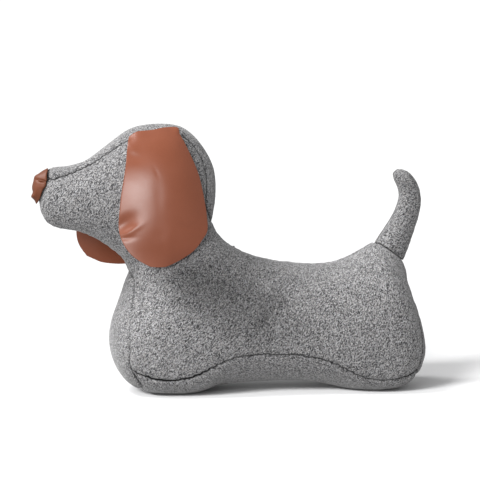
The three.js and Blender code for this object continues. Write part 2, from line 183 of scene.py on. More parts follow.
# %% The flag in front of the softbox
def flag_card(name, shaded, distance, half_wide, half_tall, turn):
    """An oval card that keeps the softbox off a place. The camera doesn't see it."""
    bm = bmesh.new()
    bmesh.ops.create_circle(bm, cap_ends=True, segments=32, radius=1)
    bmesh.ops.scale(bm, verts=bm.verts, vec=Vector((half_wide, half_tall, 1)) * MM)
    bmesh.ops.rotate(bm, verts=bm.verts, matrix=Matrix.Rotation(math.radians(turn), 3, "Z"))
    bmesh.ops.rotate(bm, verts=bm.verts, matrix=TO_SOFTBOX.to_track_quat("Z", "Y").to_matrix())
    bmesh.ops.translate(bm, verts=bm.verts, vec=Vector(shaded) * MM + distance * TO_SOFTBOX)
    mesh = bpy.data.meshes.new(name)
    bm.to_mesh(mesh)
    bm.free()
    card = bpy.data.objects.new(name, mesh)
    bpy.context.scene.collection.objects.link(card)
    card.visible_camera = card.visible_diffuse = card.visible_glossy = False
    card.data.materials.append(paper)
    return card


flag = flag_card("flag", (-9, -46, 85), 70 * MM, half_wide=50, half_tall=25, turn=-15)
print("flag", [round(c / MM) for c in flag.data.vertices[0].co], "mm is its first corner")


# %% Which lamp lights what
def linked(name, thing, state):
    """A collection for a lamp's light linking, which takes one thing in or leaves it out."""
    group = bpy.data.collections.new(name)
    group.objects.link(thing)
    group.collection_objects[0].light_linking.link_state = state
    return group


past_flag = linked("past_flag", flag, "EXCLUDE")
only_floor = linked("only_floor", floor, "INCLUDE")
not_floor = linked("not_floor", floor, "EXCLUDE")
for light, lit in [(key, not_floor), (floor_key, only_floor), (floor_fill, only_floor)]:
    light.light_linking.blocker_collection = past_flag
    light.light_linking.receiver_collection = lit
    print(light.name, "lights", lit.name)

# %% [markdown]
# ## The studio around
# White walls far away light the dog evenly from all sides. An image of a real studio could do
# it, but one even white has no colour cast and needs no file. The camera sees a brighter white
# than the one that lights the dog, so that the background stays plain white.

# %% The world
AROUND, BACKDROP = 0.42, 1.1
world = bpy.data.worlds.new("studio")
world.use_nodes = True
make = node_maker(world.node_tree)
around = world.node_tree.nodes["Background"]
around.inputs["Color"].default_value = (1, 1, 1, 1)
around.inputs["Strength"].default_value = AROUND
backdrop = make("Background", {"Color": (1, 1, 1, 1), "Strength": BACKDROP})
rays = make("LightPath")
studio = make("MixShader", {0: rays.outputs["Is Camera Ray"], 1: around.outputs[0],
                            2: backdrop.outputs[0]})
world.node_tree.links.new(studio.outputs[0], world.node_tree.nodes["World Output"].inputs[0])
bpy.context.scene.world = world
bpy.context.scene.view_settings.view_transform = "Standard"
print("world", AROUND, "behind the dog", BACKDROP)

# %% [markdown]
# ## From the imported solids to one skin
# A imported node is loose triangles, so a copy of it is merged before anything else. The filled
# body and its four let-in panels could each be dressed alone, but their edges would then never
# meet in a seam. So they are joined and remeshed in even cells, because a cloth simulation
# stretches evenly only on an even mesh. The copy stays where the solids are.

# %% Copies of the solids
WELD = 0.001 * MM


def merged_copy(*nodes):
    """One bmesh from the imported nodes, with each node's doubles merged."""
    whole = bmesh.new()
    for node in nodes:
        part = bmesh.new()
        part.from_mesh(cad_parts[node].data)
        bmesh.ops.remove_doubles(part, verts=part.verts, dist=WELD)
        mesh = bpy.data.meshes.new("part")
        part.to_mesh(mesh)
        part.free()
        whole.from_mesh(mesh)
        bpy.data.meshes.remove(mesh)
    return whole


def object_from(bm, name):
    mesh = bpy.data.meshes.new(name)
    bm.to_mesh(mesh)
    bm.free()
    piece = bpy.data.objects.new(name, mesh)
    bpy.context.scene.collection.objects.link(piece)
    return piece


def apply_modifiers(piece):
    """Makes what a piece's modifiers show its own mesh."""
    bpy.context.view_layer.objects.active = piece
    for modifier in list(piece.modifiers):
        bpy.ops.object.modifier_apply(modifier=modifier.name)


def subdivided(piece, levels):
    """A piece with its faces divided and rounded, and its open corners kept."""
    divide = piece.modifiers.new("subdivision", "SUBSURF")
    divide.levels = divide.render_levels = levels
    divide.boundary_smooth = "PRESERVE_CORNERS"
    apply_modifiers(piece)
    return piece


SHARP = math.radians(50)  # past this, two facets meet in a real edge


def quads_from(bm):
    """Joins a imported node's triangles in pairs."""
    bmesh.ops.join_triangles(bm, faces=bm.faces, angle_face_threshold=SHARP,
                             angle_shape_threshold=math.pi)


def rounded_copy(name, *nodes):
    """A copy of solids whose facets are smoothed over, and whose own edges stay."""
    bm = merged_copy(*nodes)
    quads_from(bm)
    crease = bm.edges.layers.float.new("crease_edge")
    for edge in bm.edges:
        edge[crease] = float(edge.calc_face_angle() > SHARP)
    return subdivided(object_from(bm, name), 2)


print("facets", {name: len(node.data.polygons) for name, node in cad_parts.items()})


# %% Even cells, and the skin
def even_cells(piece, cell):
    """Remeshes a closed piece in even quads, and keeps its largest shell."""
    remesh = piece.modifiers.new("cells", "REMESH")
    remesh.mode, remesh.voxel_size, remesh.use_smooth_shade = "VOXEL", cell, True
    apply_modifiers(piece)
    bm = bmesh.new()
    bm.from_mesh(piece.data)
    shells, seen = [], set()
    for start in bm.verts:
        if start in seen:
            continue
        shell, waiting = [], [start]
        seen.add(start)
        while waiting:
            vert = waiting.pop()
            shell.append(vert)
            for edge in vert.link_edges:
                other = edge.other_vert(vert)
                if other not in seen:
                    seen.add(other)
                    waiting.append(other)
        shells.append(shell)
    inner = [vert for shell in shells if shell is not max(shells, key=len) for vert in shell]
    bmesh.ops.delete(bm, geom=inner, context="VERTS")
    bm.to_mesh(piece.data)
    bm.free()
    return piece


PANELS = ["body", "head_gusset", "chest_gusset", "base_panel", "rump_gusset"]
CELL = 3 * MM
dog = even_cells(rounded_copy("dog_body", *PANELS), CELL)
print("skin", len(dog.data.vertices), "vertices")

# %% [markdown]
# ## The seams
# A seam is where two cut panels meet. It could be drawn by hand on the skin, but the solids know
# it already: every face belongs to the panel whose solid is nearest, and the body's own faces to
# the left or right side. On an even mesh that line is a staircase, so its vertices are drawn
# straight along the seam, and the cells beside it are evened out. Sewing by hand lets a seam
# wander from its pattern, so at last some places slide along the skin: the gusset's end under
# the nose cap, the corners of the front foot, and the rear foot's seam.

# %% Straight seams
LEFT, RIGHT = len(PANELS), len(PANELS) + 1
SLIGHT = 0.01  # a step not worth making, in millimetres


def seam_network(bm):
    """The seam's vertices, each with its neighbours along the seam."""
    network = {}
    for edge in bm.edges:
        if edge.seam:
            a, b = edge.verts
            network.setdefault(a, []).append(b)
            network.setdefault(b, []).append(a)
    return network


def draw_straight(bm, rounds):
    """Pulls each seam straight between its ends, and evens out the cells beside it."""
    network = seam_network(bm)
    inner = {vert: ends for vert, ends in network.items() if len(ends) == 2}
    for _ in range(rounds):
        moved = {v: v.co.lerp((a.co + b.co) / 2, 0.5) for v, (a, b) in inner.items()}
        for vert, place in moved.items():
            vert.co = place
    beside = {e.other_vert(v) for v in network for e in v.link_edges} - set(network)
    beside |= {e.other_vert(v) for v in beside for e in v.link_edges} - set(network)
    for _ in range(3):
        bmesh.ops.smooth_vert(bm, verts=list(beside), factor=0.5, use_axis_x=True,
                              use_axis_y=True, use_axis_z=True)


print("panels", dict(enumerate(PANELS)), "left", LEFT, "right", RIGHT)


# %% Panels and seams
def nearness(places, middle, reach):
    """1 at a point given in millimetres, and next to nothing at twice its reach."""
    away = np.linalg.norm(places - np.array(middle) * MM, axis=-1)
    return np.exp(-((away / (reach * MM)) ** 2))


def slide(bm, moves):
    """Shifts a mesh along its own surface. A move is a point, its reach, and the step there."""
    surface = BVHTree.FromBMesh(bm)
    for vert in bm.verts:
        step = sum((Vector(step) * float(nearness(np.array(vert.co), middle, reach))
                    for middle, reach, step in moves), Vector())
        if step.length > SLIGHT:
            vert.co = surface.find_nearest(vert.co + step * MM)[0]


def sew(piece, nodes, rounds=14, moves=()):
    """Gives each face its panel's number, and marks and straightens the seams between panels.
    The moves then shift the seams along the skin."""
    surfaces = [BVHTree.FromBMesh(merged_copy(node)) for node in nodes]
    bm = bmesh.new()
    bm.from_mesh(piece.data)
    panel = bm.faces.layers.int.new("panel")
    for face in bm.faces:
        centre = face.calc_center_median()
        nearest = min(range(len(nodes)), key=lambda i: surfaces[i].find_nearest(centre)[3])
        face[panel] = nearest or (LEFT if centre.y < 0 else RIGHT)
    for edge in bm.edges:
        a, b = edge.link_faces
        edge.seam = a[panel] != b[panel]
    for vert in bm.verts:
        sides = {face[panel] for face in vert.link_faces}
        if sides == {LEFT, RIGHT}:
            vert.co.y = 0
    draw_straight(bm, rounds)
    slide(bm, moves)
    bm.to_mesh(piece.data)
    bm.free()
    return piece


SEAM_MOVES = [((-157, 0, 190), 12, (-5, 0, -1.5))] + [
    move
    for side in (-1, 1)
    for move in [
        ((-83, side * 47.5, 22.5), 12, (-8.8, -4 * side, 0.5)),
        ((-62, side * 53, 17), 18, (0, 0, -2.2)),
        ((126, side * 50, 13), 24, (0, 0, -2.6)),
    ]
]
sew(dog, PANELS, moves=SEAM_MOVES)
print("seam edges", sum(edge.use_seam for edge in dog.data.edges))

# %% [markdown]
# ## The grain of the cloth
# Each panel is cut from flat cloth, and the weave keeps its direction on the flat piece. A
# pattern on Object coordinates would be simpler, but it would run through the dog like the
# layers of a cake. So each panel is unwrapped with little stretch, then turned and sized until
# one UV unit is one metre of cloth and V runs along the panel's grain.


# %% Laying the panels flat
def lay_flat(piece, across):
    """across gives, for each panel, the direction in space that the cloth's U axis follows."""
    bpy.ops.object.select_all(action="DESELECT")
    bpy.context.view_layer.objects.active = piece
    piece.select_set(True)
    piece.data.uv_layers.new(name="cloth")
    bpy.ops.object.mode_set(mode="EDIT")
    bpy.ops.mesh.select_all(action="SELECT")
    bpy.ops.uv.unwrap(method="MINIMUM_STRETCH", iterations=8, margin=0.002)
    bpy.ops.object.mode_set(mode="OBJECT")
    bm = bmesh.new()
    bm.from_mesh(piece.data)
    uv, panel = bm.loops.layers.uv["cloth"], bm.faces.layers.int["panel"]
    for number, direction in across.items():
        faces = [face for face in bm.faces if face[panel] == number]
        loops = [loop for face in faces for loop in face.loops]
        flat = np.array([loop[uv].uv for loop in loops])
        along = np.array([loop.vert.co.dot(Vector(direction)) for loop in loops])
        fit = np.linalg.lstsq(np.c_[flat, np.ones(len(flat))], along, rcond=None)[0]
        a, b = fit[:2] / np.hypot(*fit[:2])
        corners = [np.array([loop[uv].uv for loop in face.loops]) for face in faces]
        flat_area = sum(
            abs(np.dot(c[:, 0], np.roll(c[:, 1], -1)) - np.dot(c[:, 1], np.roll(c[:, 0], -1))) / 2
            for c in corners
        )
        size = math.sqrt(sum(face.calc_area() for face in faces) / flat_area)
        for loop, (u, v) in zip(loops, flat):
            loop[uv].uv = size * Vector((a * u + b * v, a * v - b * u))
        print("panel", number, len(faces), "faces, 1 UV is", round(size, 3), "m")
    bm.to_mesh(piece.data)
    bm.free()


X, Y = (1, 0, 0), (0, 1, 0)
lay_flat(dog, {1: Y, 2: Y, 3: Y, 4: Y, LEFT: X, RIGHT: X})

# %% [markdown]
# ## The filling
# Cloth pressed out by its filling is held only at its seams. Scaling the skin up would move the
# seams too, so a cloth simulation does it. The skin starts a little inside the solids. Its seams
# are pinned and the cloth between them has some spare, so pressure rounds each panel and leaves
# the small gathers that hand-filled wool has. No point may move further than the cap, and what
# is left is applied, so no Cloth stays on the piece.


# %% Moving a mesh by number
def places_of(mesh):
    """All the places of a mesh, a row for each vertex."""
    places = np.empty(len(mesh.vertices) * 3)
    mesh.vertices.foreach_get("co", places)
    return places.reshape(-1, 3)


def outward(mesh):
    """The way out at each place of a mesh."""
    normals = np.empty(len(mesh.vertices) * 3)
    mesh.vertices.foreach_get("normal", normals)
    return normals.reshape(-1, 3)


def put(mesh, places):
    """Moves a mesh to new places."""
    mesh.vertices.foreach_set("co", places.astype(np.float32).ravel())
    mesh.update()


print("the skin reaches", [round(c / MM, 1) for c in np.ptp(places_of(dog.data), axis=0)], "mm")

# %% Filling the sewn skin
FRAMES = 20


def fill_out(piece, sewn, pressure, spare, start_inside, cap):
    """Blows a skin up between its sewn vertices. The cap is about how far a point may go."""
    mesh = piece.data
    solid = places_of(mesh)
    put(mesh, solid - start_inside * outward(mesh))
    before = places_of(mesh)
    pins = piece.vertex_groups.new(name="sewn")
    pins.add(sewn, 1.0, "REPLACE")
    cloth = piece.modifiers.new("filling", "CLOTH")
    cloth.settings.quality = 5
    cloth.settings.mass = 0.2
    cloth.settings.tension_stiffness = 20
    cloth.settings.compression_stiffness = 20
    cloth.settings.shear_stiffness = 8
    cloth.settings.bending_stiffness = 2
    cloth.settings.use_pressure = True
    cloth.settings.uniform_pressure_force = pressure
    cloth.settings.shrink_min = -spare
    cloth.settings.vertex_group_mass = "sewn"
    cloth.settings.effector_weights.gravity = 0
    cloth.point_cache.frame_start, cloth.point_cache.frame_end = 1, FRAMES
    for number in range(1, FRAMES + 1):
        bpy.context.scene.frame_set(number)
    apply_modifiers(piece)
    bpy.context.scene.frame_set(1)
    step = places_of(mesh) - before
    far = np.maximum(np.linalg.norm(step, axis=1, keepdims=True), WELD)
    put(mesh, before + step * (cap / far) * np.tanh(far / cap))
    piece.vertex_groups.clear()
    print(piece.name, "moved", round(float(far.max()) / MM, 1), "mm at most, capped at", cap / MM)


def sewn_vertices(mesh):
    """The numbers of the vertices on a mesh's seams."""
    return sorted({v for edge in mesh.edges if edge.use_seam for v in edge.vertices})


NOSE_HOLDS = 4 * MM
nose_surface = BVHTree.FromBMesh(merged_copy("nose"))
under_nose = [
    v.index for v in dog.data.vertices if nose_surface.find_nearest(v.co)[3] < NOSE_HOLDS
]
fill_out(dog, sorted({*sewn_vertices(dog.data), *under_nose}), pressure=4, spare=0.006,
         start_inside=1.2 * MM, cap=1.6 * MM)
subdivided(dog, 1)
print("cloth", len(dog.data.polygons), "faces")

# %% [markdown]
# ## Drawing the seams in
# A sewn seam is a narrow ditch: both cloths turn inwards at the thread and bulge a little beside
# it. Where more cloth was eased into a seam than its length takes, it stands in small gathers
# across it. A dark line in the finish alone would look flat from the side, so both are real steps
# of the mesh, and the finish adds painted shade in the ditch. They follow the seam, so each vertex
# needs its distance from the nearest seam and how far along the seam that is.


# %% Seam lines
def seam_lines(mesh):
    """The seams as lines of points, each from one meeting of seams to the next."""
    bm = bmesh.new()
    bm.from_mesh(mesh)
    network = seam_network(bm)
    lines, used = [], set()
    corners = [vert for vert, ends in network.items() if len(ends) != 2]
    for start in corners + list(network):
        for other in network[start]:
            if (start, other) in used:
                continue
            line, here, there = [start.co.copy()], start, other
            while True:
                used |= {(here, there), (there, here)}
                line.append(there.co.copy())
                onward = [v for v in network[there] if (there, v) not in used]
                if len(network[there]) != 2 or not onward:
                    break
                here, there = there, onward[0]
            lines.append(line)
    bm.free()
    return lines


SAMPLE = 0.3 * MM


class SeamMap:
    """Finds the nearest point of a piece's seams: its distance, and how far along them it is."""

    def __init__(self, lines):
        self.points, self.along = [], []
        travelled = 0.0
        for line in lines:
            for a, b in zip(line, line[1:]):
                count = max(1, round((b - a).length / SAMPLE))
                for i in range(count):
                    self.points.append(a.lerp(b, i / count))
                    self.along.append(travelled + (b - a).length * i / count)
                travelled += (b - a).length
            travelled += 1.0
        self.tree = KDTree(len(self.points))
        for i, point in enumerate(self.points):
            self.tree.insert(point, i)
        self.tree.balance()

    def nearest(self, place):
        _, i, distance = self.tree.find(place)
        return distance, self.along[i]


print("seam lines", len(seam_lines(dog.data)))

# %% Ditches and gathers
DITCH, DITCH_WIDTH = 1.1 * MM, 3.2 * MM
GATHER, GATHER_PITCH, GATHER_REACH = 0.25 * MM, 8 * MM, 7 * MM
UNEVEN_OVER, WANDER_OVER = 25 * MM, 14 * MM  # how far along a seam its pull and gathers change
SEAM_SEEN = 20 * MM  # further off than this, the cloth knows of no seam
# Where the thread pulls harder or lighter than elsewhere: a point, its reach, and how much.
PULL = [
    entry
    for side in (-1, 1)
    for entry in [
        ((-95, side * 34, 72), 28, -0.6),
        ((-93, side * 44, 45), 20, -0.35),
        ((-60, side * 54, 16), 24, 1.3),
        ((-35, side * 56, 18), 16, 0.5),
        ((156, side * 46, 20), 12, 1.5),
        ((-140, side * 18, 187), 30, 0.2),
    ]
] + [((1, 0, 120), 8, -0.6), ((-14, 0, 146), 6, -0.6)]


def sew_in(piece, ditch=DITCH, gather=GATHER, pull=()):
    """Draws the seams in, and keeps two values on each vertex for the painted shade in the cloth's
    finish: how far it is from a seam, and how hard the seam is pulled there."""
    mesh = piece.data
    seams = SeamMap(seam_lines(mesh))
    found = np.array([seams.nearest(vert.co) for vert in mesh.vertices])
    off, along = found[:, 0], found[:, 1]
    places = places_of(mesh)
    hard = 1 + sum((much * nearness(places, middle, reach) for middle, reach, much in pull),
                   np.zeros(len(places)))
    uneven = np.array([noise.noise(Vector((s / UNEVEN_OVER, 0.5, 0.5))) for s in along])
    wander = np.array([noise.noise(Vector((s / WANDER_OVER, 7.5, 0.5))) for s in along])
    narrow = ditch * hard * (1 + 0.6 * uneven) * np.clip(1 - off / DITCH_WIDTH, 0, 1) ** 2
    wave = np.cos(2 * np.pi * (along / GATHER_PITCH + 0.9 * wander))
    near = np.exp(-off / GATHER_REACH) * np.clip(off / DITCH_WIDTH, 0.25, 1)
    lift = gather * (1 + uneven) * wave * near - narrow
    put(mesh, places + lift[:, None] * outward(mesh))
    for name, values in {"seam": np.minimum(off, SEAM_SEEN), "pull": np.clip(hard, 0, 2)}.items():
        layer = mesh.attributes.new(name, "FLOAT", "POINT")
        layer.data.foreach_set("value", values.astype(np.float32))
    return seams


print("a ditch is", DITCH / MM, "mm deep, and a gather every", GATHER_PITCH / MM, "mm")

# %% [markdown]
# ## Pushing the filling about
# Pressure alone gives every dog the same round shape. A maker then works the loose filling with
# their hands: more into the back of the head, the back and the root of the tail, less behind the
# neck, where the side sinks into a long hollow. A second simulation could squeeze it, but a few
# soft steps at named places are quicker to steer. The seams go with the cloth, and the ditches
# are drawn in after that.


# %% The filling's hollows and swells
def fold_lift(places, folds):
    """How far folds lift each place. A fold is its middle's X and Z, its half length and half
    width, how far it stands out, all in millimetres, and its turn in degrees."""
    lift = np.zeros(len(places))
    for x, z, length, width, height, turn in folds:
        c, s = math.cos(math.radians(turn)), math.sin(math.radians(turn))
        right, up = places[:, 0] / MM - x, places[:, 2] / MM - z
        lift += height * np.exp(-(((c * right + s * up) / length) ** 2)
                                - ((c * up - s * right) / width) ** 2)
    return lift[:, None] * MM


HOLLOWS = [(-8, 90, 45, 18, -7, -21)]
# Where the filling is pushed: a point on the middle, its reach, and the step.
STUFFED = [
    ((-38, 0, 216), 22, (1.5, 0, 2.8)),
    ((-18, 0, 190), 24, (3.2, 0, 1.6)),
    ((-153, 0, 140), 17, (-2.6, 0, -2.8)),
    ((-166, 0, 155), 8, (-1.5, 0, 0)),
    ((-152, 0, 187), 8, (-1.5, 0, 0.7)),
    ((-93, 0, 205), 18, (0.8, 0, -0.9)),
    ((150, 0, 80), 22, (-1.8, 0, 0)),
    ((12, 0, 112), 32, (0, 0, 1.8)),
    ((55, 0, 108), 28, (0, 0, 1.2)),
    ((118, 0, 118), 16, (0, 0, 1.8)),
    ((143, 0, 111), 9, (2.4, 0, 0.4)),
]
dog_places = places_of(dog.data)
dog_steps = fold_lift(dog_places, HOLLOWS) * outward(dog.data)
for middle, reach, step in STUFFED:
    dog_steps += nearness(dog_places, middle, reach)[:, None] * np.array(step) * MM
put(dog.data, dog_places + dog_steps)
dog_seams = sew_in(dog, pull=PULL)
print("seams", round(len(dog_seams.points) * SAMPLE, 2), "m long")

# %% [markdown]
# ## Thread
# In the bottom of a ditch the thread shows as a row of short dark stitches, three millimetres
# apart. One long cord would fill the ditch, so each stitch is its own small ball, drawn out along
# the seam. It has only a few faces, since a row of many hundred must stay light. Where the thread
# pulls lightly the seam closes over it, and no stitch shows.

# %% Stitches along the seams
STITCH_PITCH, STITCH_LENGTH, STITCH_THICK = 3 * MM, 2.1 * MM, 0.5 * MM
STITCH_ROUND, STITCH_RINGS = 6, 4
LIGHT_PULL = -0.25


def one_stitch():
    """A stitch along Z."""
    bm = bmesh.new()
    bmesh.ops.create_uvsphere(bm, u_segments=STITCH_ROUND, v_segments=STITCH_RINGS,
                              radius=0.5)
    bmesh.ops.scale(bm, verts=bm.verts, vec=(STITCH_THICK, STITCH_THICK, STITCH_LENGTH))
    for face in bm.faces:
        face.smooth = True
    stitch = bpy.data.meshes.new("stitch")
    bm.to_mesh(stitch)
    bm.free()
    return stitch


def stitches(name, lines, pull=()):
    """A row of stitches along each line, but for where the thread pulls lightly."""
    stitch, bm = one_stitch(), bmesh.new()
    for line in lines:
        run = 0.0
        for a, b in zip(line, line[1:]):
            step = (b - a).length
            while run < step:
                turn = (b - a).to_track_quat("Z", "Y").to_matrix().to_4x4()
                turn.translation = a.lerp(b, run / step)
                place = np.array(turn.translation)
                if sum(much * nearness(place, *where) for *where, much in pull) > LIGHT_PULL:
                    stitch.transform(turn)
                    bm.from_mesh(stitch)
                    stitch.transform(turn.inverted())
                run += STITCH_PITCH
            run -= step
    return object_from(bm, name)


thread = stitches("seam_thread", seam_lines(dog.data), PULL)
print("stitches", len(thread.data.polygons) // (STITCH_ROUND * STITCH_RINGS))

# %% [markdown]
# ## The tail
# The tail is a bag of the same cloth, turned and stuffed hard, and sewn to the body round its
# root. A bent tube would do for the shape, but it would have no seams. So it goes through the
# same steps as the body, in finer cells. Then its root is drawn down onto the body, and the rest
# is lifted a little, more and more towards the tip.

# %% The tail
TAIL_CELL = 1.7 * MM
ROOT, ROOT_OUT = np.array((140.5, 0, 119.8)) * MM, np.array((0.552, 0, 0.834))
ROOT_REACH, ROOT_SUNK = 10 * MM, 2 * MM  # the root is drawn down onto the body
ROOT_SEWN = 14 * MM  # the part of the tail that the body holds
TAIL_RISE, RISEN = 2.4 * MM, 55 * MM  # how far it is lifted, and how far up that is reached
tail = even_cells(rounded_copy("tail_stuffed", "tail"), TAIL_CELL)
sew(tail, ["tail"], rounds=10)
lay_flat(tail, {LEFT: X, RIGHT: X})
tail_low, tail_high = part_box("tail")
sewn_root = [v.index for v in tail.data.vertices if v.co.z < tail_low.z + ROOT_SEWN]
fill_out(tail, sorted({*sewn_vertices(tail.data), *sewn_root}), pressure=4, spare=0.0,
         start_inside=0.3 * MM, cap=0.6 * MM)
subdivided(tail, 1)
sew_in(tail, ditch=0.5 * MM, gather=0.1 * MM)
tail_places = places_of(tail.data)
above_root = (tail_places - ROOT) @ ROOT_OUT
seated = np.clip(1 - above_root / ROOT_REACH, 0, 1)[:, None]
tail_places[:, 2] += TAIL_RISE * np.clip(above_root / RISEN, 0, 1)
put(tail.data, tail_places - ROOT_SUNK * seated * ROOT_OUT)
print("tail", len(tail.data.polygons), "faces")

# %% [markdown]
# ## The leather ears
# An ear is one flat cut of leather, sewn into the head gusset's seam along its top edge. It
# could be draped by a cloth simulation, but leather of this thickness takes few, broad folds,
# and they are wanted at known places. So its shape is the outer face of its solid, set free,
# with even cells, and hung in one smooth sweep. Its top band is bent down to the wool that it is
# sewn to, and hollows and swells are placed one by one. Then the sheet gets its thickness and
# its softly rounded cut edge.

# %% A face set free from its solid
LOOKS_OUT = 0.5  # how far a face must look the same way, from 0 to 1


def outer_face(node, out):
    """The one face of a sheet's solid that looks along out, as a sheet of quads."""
    bm = merged_copy(node)
    rest = [face for face in bm.faces if face.normal.dot(Vector(out)) < LOOKS_OUT]
    bmesh.ops.delete(bm, geom=rest, context="FACES")
    quads_from(bm)
    print(node, "outer face", len(bm.faces), "quads")
    return bm


# %% Hanging leather
EAR_THICK, EDGE_ROUND = 1.5 * MM, 0.3 * MM
LOWEST, SEAM_HOLDS = 12 * MM, 15 * MM  # the loose lowest edge, and the band that the seam holds
SEAM_BAND, LIES_OVER, BENDS = 14 * MM, 2 * MM, 3 * MM
CLEAR_OF_DOG = 200 * MM  # a side distance that is outside the dog


def pulled(places, pulls):
    """Places moved in the side view. A pull is a point's X and Z, its reach, and its step."""
    moved = places.copy()
    for x, z, reach, right, up in pulls:
        away = np.hypot(places[:, 0] / MM - x, places[:, 2] / MM - z)
        moved += np.exp(-((away / reach) ** 2))[:, None] * np.array((right, 0, up)) * MM
    return moved


def hanging(places):
    """The same sheet, hanging from its seam in one smooth sweep: its Y follows a curved surface
    of the fourth degree, which is fitted to all of it but its lowest edge."""
    low, high = places.min(axis=0), places.max(axis=0)
    x, _, z = (2 * (places - low) / (high - low) - 1).T
    terms = np.stack([x**i * z**j for i in range(5) for j in range(5) if i + j <= 4], axis=1)
    above = places[:, 2] > low[2] + LOWEST
    fit = np.linalg.lstsq(terms[above], places[above, 1], rcond=None)[0]
    share = np.clip((high[2] - SEAM_HOLDS - places[:, 2]) / SEAM_HOLDS, 0, 1)
    hung = places.copy()
    hung[:, 1] += share * (terms @ fit - places[:, 1])
    return hung


def sewn_down(places, out, surface):
    """The same sheet, its top band bent towards the surface that it is sewn to, until it lies
    a little over it."""
    top = places[:, 2].max()
    bent = places.copy()
    for i in np.flatnonzero(places[:, 2] > top - SEAM_BAND):
        x, _, z = places[i]
        hit = surface.ray_cast(Vector((x, CLEAR_OF_DOG * out[1], z)), -Vector(out))[0]
        if hit is not None:
            over = (places[i, 1] - hit.y) * out[1] - LIES_OVER
            share = ((z - top) / SEAM_BAND + 1) ** 2
            bent[i, 1] -= out[1] * share * min(max(over, 0), BENDS)
    return bent


def surface_of(piece):
    """A piece's surface, which finds the nearest place on it."""
    bm = bmesh.new()
    bm.from_mesh(piece.data)
    surface = BVHTree.FromBMesh(bm)
    bm.free()
    return surface


def relaxed(piece, rounds=6):
    """Evens out a sheet's cells. Its outline stays."""
    bm = bmesh.new()
    bm.from_mesh(piece.data)
    inner = [vert for vert in bm.verts if not vert.is_boundary]
    for _ in range(rounds):
        bmesh.ops.smooth_vert(bm, verts=inner, factor=0.5, use_axis_x=True, use_axis_y=True,
                              use_axis_z=True)
    bm.to_mesh(piece.data)
    bm.free()
    return piece


def leather_ear(name, node, out, folds, pulls=()):
    """An ear with its thickness, and the area of its flat cut."""
    ear = relaxed(subdivided(object_from(outer_face(node, out), name), 3))
    places = sewn_down(hanging(places_of(ear.data)), out, skin)
    put(ear.data, pulled(places, pulls) + fold_lift(places, folds) * np.array(out))
    ear.data.polygons.foreach_set("use_smooth", [True] * len(ear.data.polygons))
    area = sum(face.area for face in ear.data.polygons)
    thick = ear.modifiers.new("thickness", "SOLIDIFY")
    thick.thickness, thick.offset = EAR_THICK, -1
    thick.material_offset, thick.material_offset_rim = 1, 2
    edge = ear.modifiers.new("edge", "BEVEL")
    edge.width, edge.segments, edge.limit_method = EDGE_ROUND, 2, "ANGLE"
    edge.angle_limit = SHARP
    apply_modifiers(ear)
    print(name, "flat area", round(area * 1e4, 1), "cm2", len(ear.data.polygons), "faces")
    return ear, area


skin = surface_of(dog)
print("skin for the ears to lie on:", len(dog.data.polygons), "faces")

# %% The near ear
# Folds, as fold_lift takes them: the long hollow that the ear hangs with, and the small creases.
NEAR_FOLDS = [
    (-46, 168, 45, 20, 1.9, 90),
    (-62, 106, 40, 23, -8.5, 0),
    (-88, 207, 7, 3.2, 0.6, -40),
    (-86.4, 199.8, 8, 4.5, -0.7, -15),
    (-68.2, 187.4, 5, 1.5, -0.13, -66),
    (-66, 168.5, 18, 4, -0.13, -88),
    (-60.5, 166, 18, 5, 0.06, 90),
    (-95, 144, 11, 6, -2.5, 36),
    (-88, 139.5, 8, 2.4, 0.8, 32),
    (-94, 133, 7, 2.2, -0.8, 5),
    (-57.6, 129.7, 14, 5, 0.35, 90),
    (-65.6, 134.6, 6, 5, -0.3, 0),
    (-34.8, 142, 13, 3.5, -0.6, -4),
    (-38, 133, 14, 7, 0.5, 0),
]
# Where its cut edge goes in the side view: X, Z, the reach, and the step right and up.
NEAR_PULLS = [
    (-89.5, 219, 4.5, -0.3, -2.6),
    (-71, 221, 10, 0, -1.2),
    (-49.5, 223.5, 3.5, 2.2, 1.4),
    (-66, 108, 12, 0, -1.3),
    (-25.5, 139, 7, 1.5, -1),
]
near_ear, near_area = leather_ear("ear_near", "ear_left", (0, -1, 0), NEAR_FOLDS, NEAR_PULLS)

# %% The far ear
FAR_FOLDS = [
    (-82, 196, 12, 5, 1.2, -10),
    (-95, 165, 28, 12, 1.4, 70),
    (-80, 160, 32, 4, -0.7, 75),
    (-62, 170, 28, 8, 0.8, 80),
    (-118, 138, 10, 4, -1.3, 20),
    (-95, 122, 12, 8, 0.8, -10),
    (-60, 135, 12, 5, -0.8, 15),
]
far_ear, far_area = leather_ear("ear_far", "ear_right", (0, 1, 0), FAR_FOLDS)

# %% [markdown]
# ## The leather nose
# A cap of leather covers the snout's end, with its edge turned under and sewn down all round. It
# is gathered where it is sewn, and a short fold shows at its side. A plain ball would look like
# a button, so the cap's own solid is remeshed finely and its folds and corners are pushed in.

